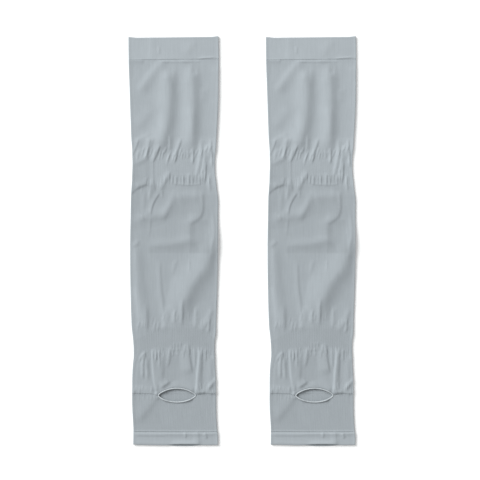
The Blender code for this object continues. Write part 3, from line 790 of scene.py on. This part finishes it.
def seam_stitches(seam):
    """The stitches of one seam, at even steps of the girth: a thread crosses the seam in a low arch and
    dips in at its ends. Gives their points and faces."""
    share, angle, girth = columns_round()
    share, angle = np.append(share, share[0]), np.append(angle, 1.5 * np.pi)
    count = int(girth[-1] / STITCH_PITCH)
    t = np.linspace(0, 1, STITCH_POINTS)
    place = (np.arange(count)[:, None] + 0.5) * girth[-1] / count + STITCH_SLANT * (t - 0.5)
    station = seam.station + STITCH_REACH * (2 * t - 1) + 0 * place
    wall = seam.wall_above + (seam.wall_below - seam.wall_above) * t
    at_angle = np.interp(place, girth, angle)
    upness = (1 + np.sin(at_angle)) / 2
    proud = STITCH_PROUD * np.sin(np.pi * t) - STITCH_SUNK
    depth = THREAD_RADIUS * (1 - upness) - proud * upness
    centre = laid_point(np.interp(place, girth, share), at_angle, station, wall, depth)
    middle = STITCH_POINTS // 2
    in_the_hole = (np.abs(centre[:, middle, 0] - HOLE_CENTRE) < seam.open_half) & (upness[:, middle] > 0.5)
    rings = rings_round(centre[~in_the_hole], THREAD_RADIUS, THREAD_SIDES)
    lines, points, sides = rings.shape[:3]
    first = (np.arange(lines)[:, None, None] * points + np.arange(points - 1)[:, None]) * sides
    corner = np.arange(sides)
    after = (corner + 1) % sides
    quads = np.stack([first + corner, first + after, first + sides + after, first + sides + corner], axis=-1)
    starts = np.arange(lines)[:, None] * points * sides + corner[::-1]
    ends = starts[:, ::-1] + (points - 1) * sides
    return rings.reshape(-1, 3), quads.reshape(-1, 4).tolist() + starts.tolist() + ends.tolist()


def plied_yarn(name, hex_colour, roughness, strand_mm):
    """Twisted filament nylon. To the eye it is a little glossier than the knit, each strand painted paler
    along its top as a painted highlight, and uneven along its length, where the filaments open and close."""
    material = bpy.data.materials.new(name)
    material.use_nodes = True
    tree = material.node_tree
    place = node(tree, "ShaderNodeTexCoord", {}).outputs["Object"]
    per_strand = 1 / (strand_mm * MM)
    # A diagonal wave's bands are 0.36 / scale apart, so these are 3.6 strands apart, to show at all.
    strands = node(tree, "ShaderNodeTexWave", {"Vector": place, "Scale": 0.1 * per_strand, "Distortion": 1.5},
                   bands_direction="DIAGONAL")
    uneven = node(tree, "ShaderNodeTexNoise", {"Vector": place, "Scale": 0.25 * per_strand, "Detail": 3.0})
    # Painted highlight and shade across each strand's band, in the base colour.
    painted_strand_highlight = node(tree, "ShaderNodeMapRange", {0: strands.outputs["Fac"], 3: 0.93, 4: 1.04})
    worn = node(tree, "ShaderNodeMapRange", {0: uneven, **NOISE_RANGE, 3: 0.95, 4: 1.05})
    pale = node(tree, "ShaderNodeMath", {0: painted_strand_highlight, 1: worn}, operation="MULTIPLY")
    dyed = node(tree, "ShaderNodeVectorMath", {0: linear(hex_colour)[:3], "Scale": pale},
                operation="SCALE")
    gloss = node(tree, "ShaderNodeMapRange", {0: uneven, 3: roughness + 0.08, 4: roughness - 0.08})
    bump = node(tree, "ShaderNodeBump", {"Height": strands.outputs["Fac"], "Distance": 0.15 * strand_mm * MM})
    connect(tree, tree.nodes["Principled BSDF"], {
        "Base Color": dyed, "Roughness": gloss, "Normal": bump, "Metallic": 0.0, "IOR": NYLON_IOR,
    })
    return material


thread = plied_yarn("textured_nylon_thread", TURNED_HEX, roughness=0.7, strand_mm=0.25)
for seam in SEAMS:
    stitch_points, stitch_faces = seam_stitches(seam)
    for side, axis in SLEEVES.items():
        stitches = on_sleeve(f"{side}_{seam.name}", stitch_points, stitch_faces, axis, thread)
        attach(stitches, "root")

# ------------------------------------------------------------------------------
# Thumb-hole bindings. The open stretch of the seam is rolled and overcast with a paler, glossier
# yarn, which makes a round cord of slanting threads all round the hole, with a pointed end each side.

BINDING_SIDES = 14
BINDING_STEP = 0.16
BINDING_SUNK = 0.1  # its middle lies this far in the upper layer
OVERCAST_PITCH = 1.1
OVERCAST_SWELL = 0.07  # of the radius
OVERCAST_HEX = "B3BABE"
binding_yarn = plied_yarn("nylon_overcast_yarn", OVERCAST_HEX, roughness=0.55, strand_mm=0.4)


def binding_grid():
    """A cord on the hole's outline: rings of radius·(1 + swell·cos(2π·threads·place + turn)), a wave
    that slants round it as the threads do."""
    across, along = hole_outline(0.0)
    along = THUMB_SEAM + HOLE_DIP + along
    steps = np.hypot(np.diff(across), np.diff(along))
    length = np.concatenate([[0], np.cumsum(steps)])
    count = int(length[-1] / BINDING_STEP)
    place = np.linspace(0, length[-1], count + 1)[:-1]
    across, along = np.interp(place, length, across), np.interp(place, length, along)
    height = 2 * TUBE_WALL + LAYER_GAP - BINDING_SUNK + lift(across, along)
    centre = np.stack([across, along, height], axis=-1)
    wrapped = np.concatenate([centre[-1:], centre, centre[:1]])[None]
    threads = int(length[-1] / OVERCAST_PITCH)
    turn = np.arange(BINDING_SIDES) * 2 * np.pi / BINDING_SIDES
    wave = np.cos(2 * np.pi * threads * place[:, None] / length[-1] + turn)
    rings = rings_round(wrapped, 1.0, BINDING_SIDES)[0, 1:-1] - centre[:, None]
    return centre[:, None] + rings * (BINDING_RADIUS * (1 + OVERCAST_SWELL * wave))[..., None]


ring_points = binding_grid()
ring_faces = closed_grid(*ring_points.shape[:2]).tolist()
for side, axis in SLEEVES.items():
    binding = on_sleeve(f"{side}_hole_binding", ring_points, ring_faces, axis, binding_yarn)
    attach(binding, "root")
    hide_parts(f"{side}_thumb_binding")

# ------------------------------------------------------------------------------
# Floor and light. A plain pale surface under the pair, soft daylight from the upper left and an even
# sky, as in a studio.

FLOOR_HALF = 25.0  # metres
FLOOR_LEVEL = -0.0001  # just under the cloth
FLOOR_HEX = "F3F4F4"
WHITE = linear("FFFFFF")
FLOOR_GLOW = 0.12  # it is lit from below as well, so shadows on it are faint
KEY_FROM = (-0.76, 0.65, 0.74)  # the side that the daylight comes from
KEY_STRENGTH = 3.55
KEY_ANGLE_DEG = 38.0
SKY_STRENGTH = 0.45

floor_mesh = bpy.data.meshes.new("floor")
corners = np.array([(-1, -1), (1, -1), (1, 1), (-1, 1)]) * FLOOR_HALF
floor_mesh.from_pydata([(x, y, FLOOR_LEVEL) for x, y in corners.tolist()], [], [(0, 1, 2, 3)])
floor_paint = bpy.data.materials.new("matt_white_board")
floor_paint.use_nodes = True
connect(floor_paint.node_tree, floor_paint.node_tree.nodes["Principled BSDF"], {
    "Base Color": linear(FLOOR_HEX), "Roughness": 0.9, "Specular IOR Level": 0.1,
    "Emission Color": WHITE, "Emission Strength": FLOOR_GLOW,
})
floor_mesh.materials.append(floor_paint)
floor = put_in_scene("floor", floor_mesh)

key_data = bpy.data.lights.new("key", "SUN")
key_data.energy = KEY_STRENGTH
key_data.angle = np.radians(KEY_ANGLE_DEG)
key = put_in_scene("key", key_data)
key.rotation_euler = Vector(KEY_FROM).to_track_quat("Z", "Y").to_euler()

sky = bpy.data.worlds.new("sky")
sky.use_nodes = True
connect(sky.node_tree, sky.node_tree.nodes["Background"], {"Strength": SKY_STRENGTH, "Color": WHITE})
bpy.context.scene.world = sky
bpy.context.scene.view_settings.view_transform = "Standard"
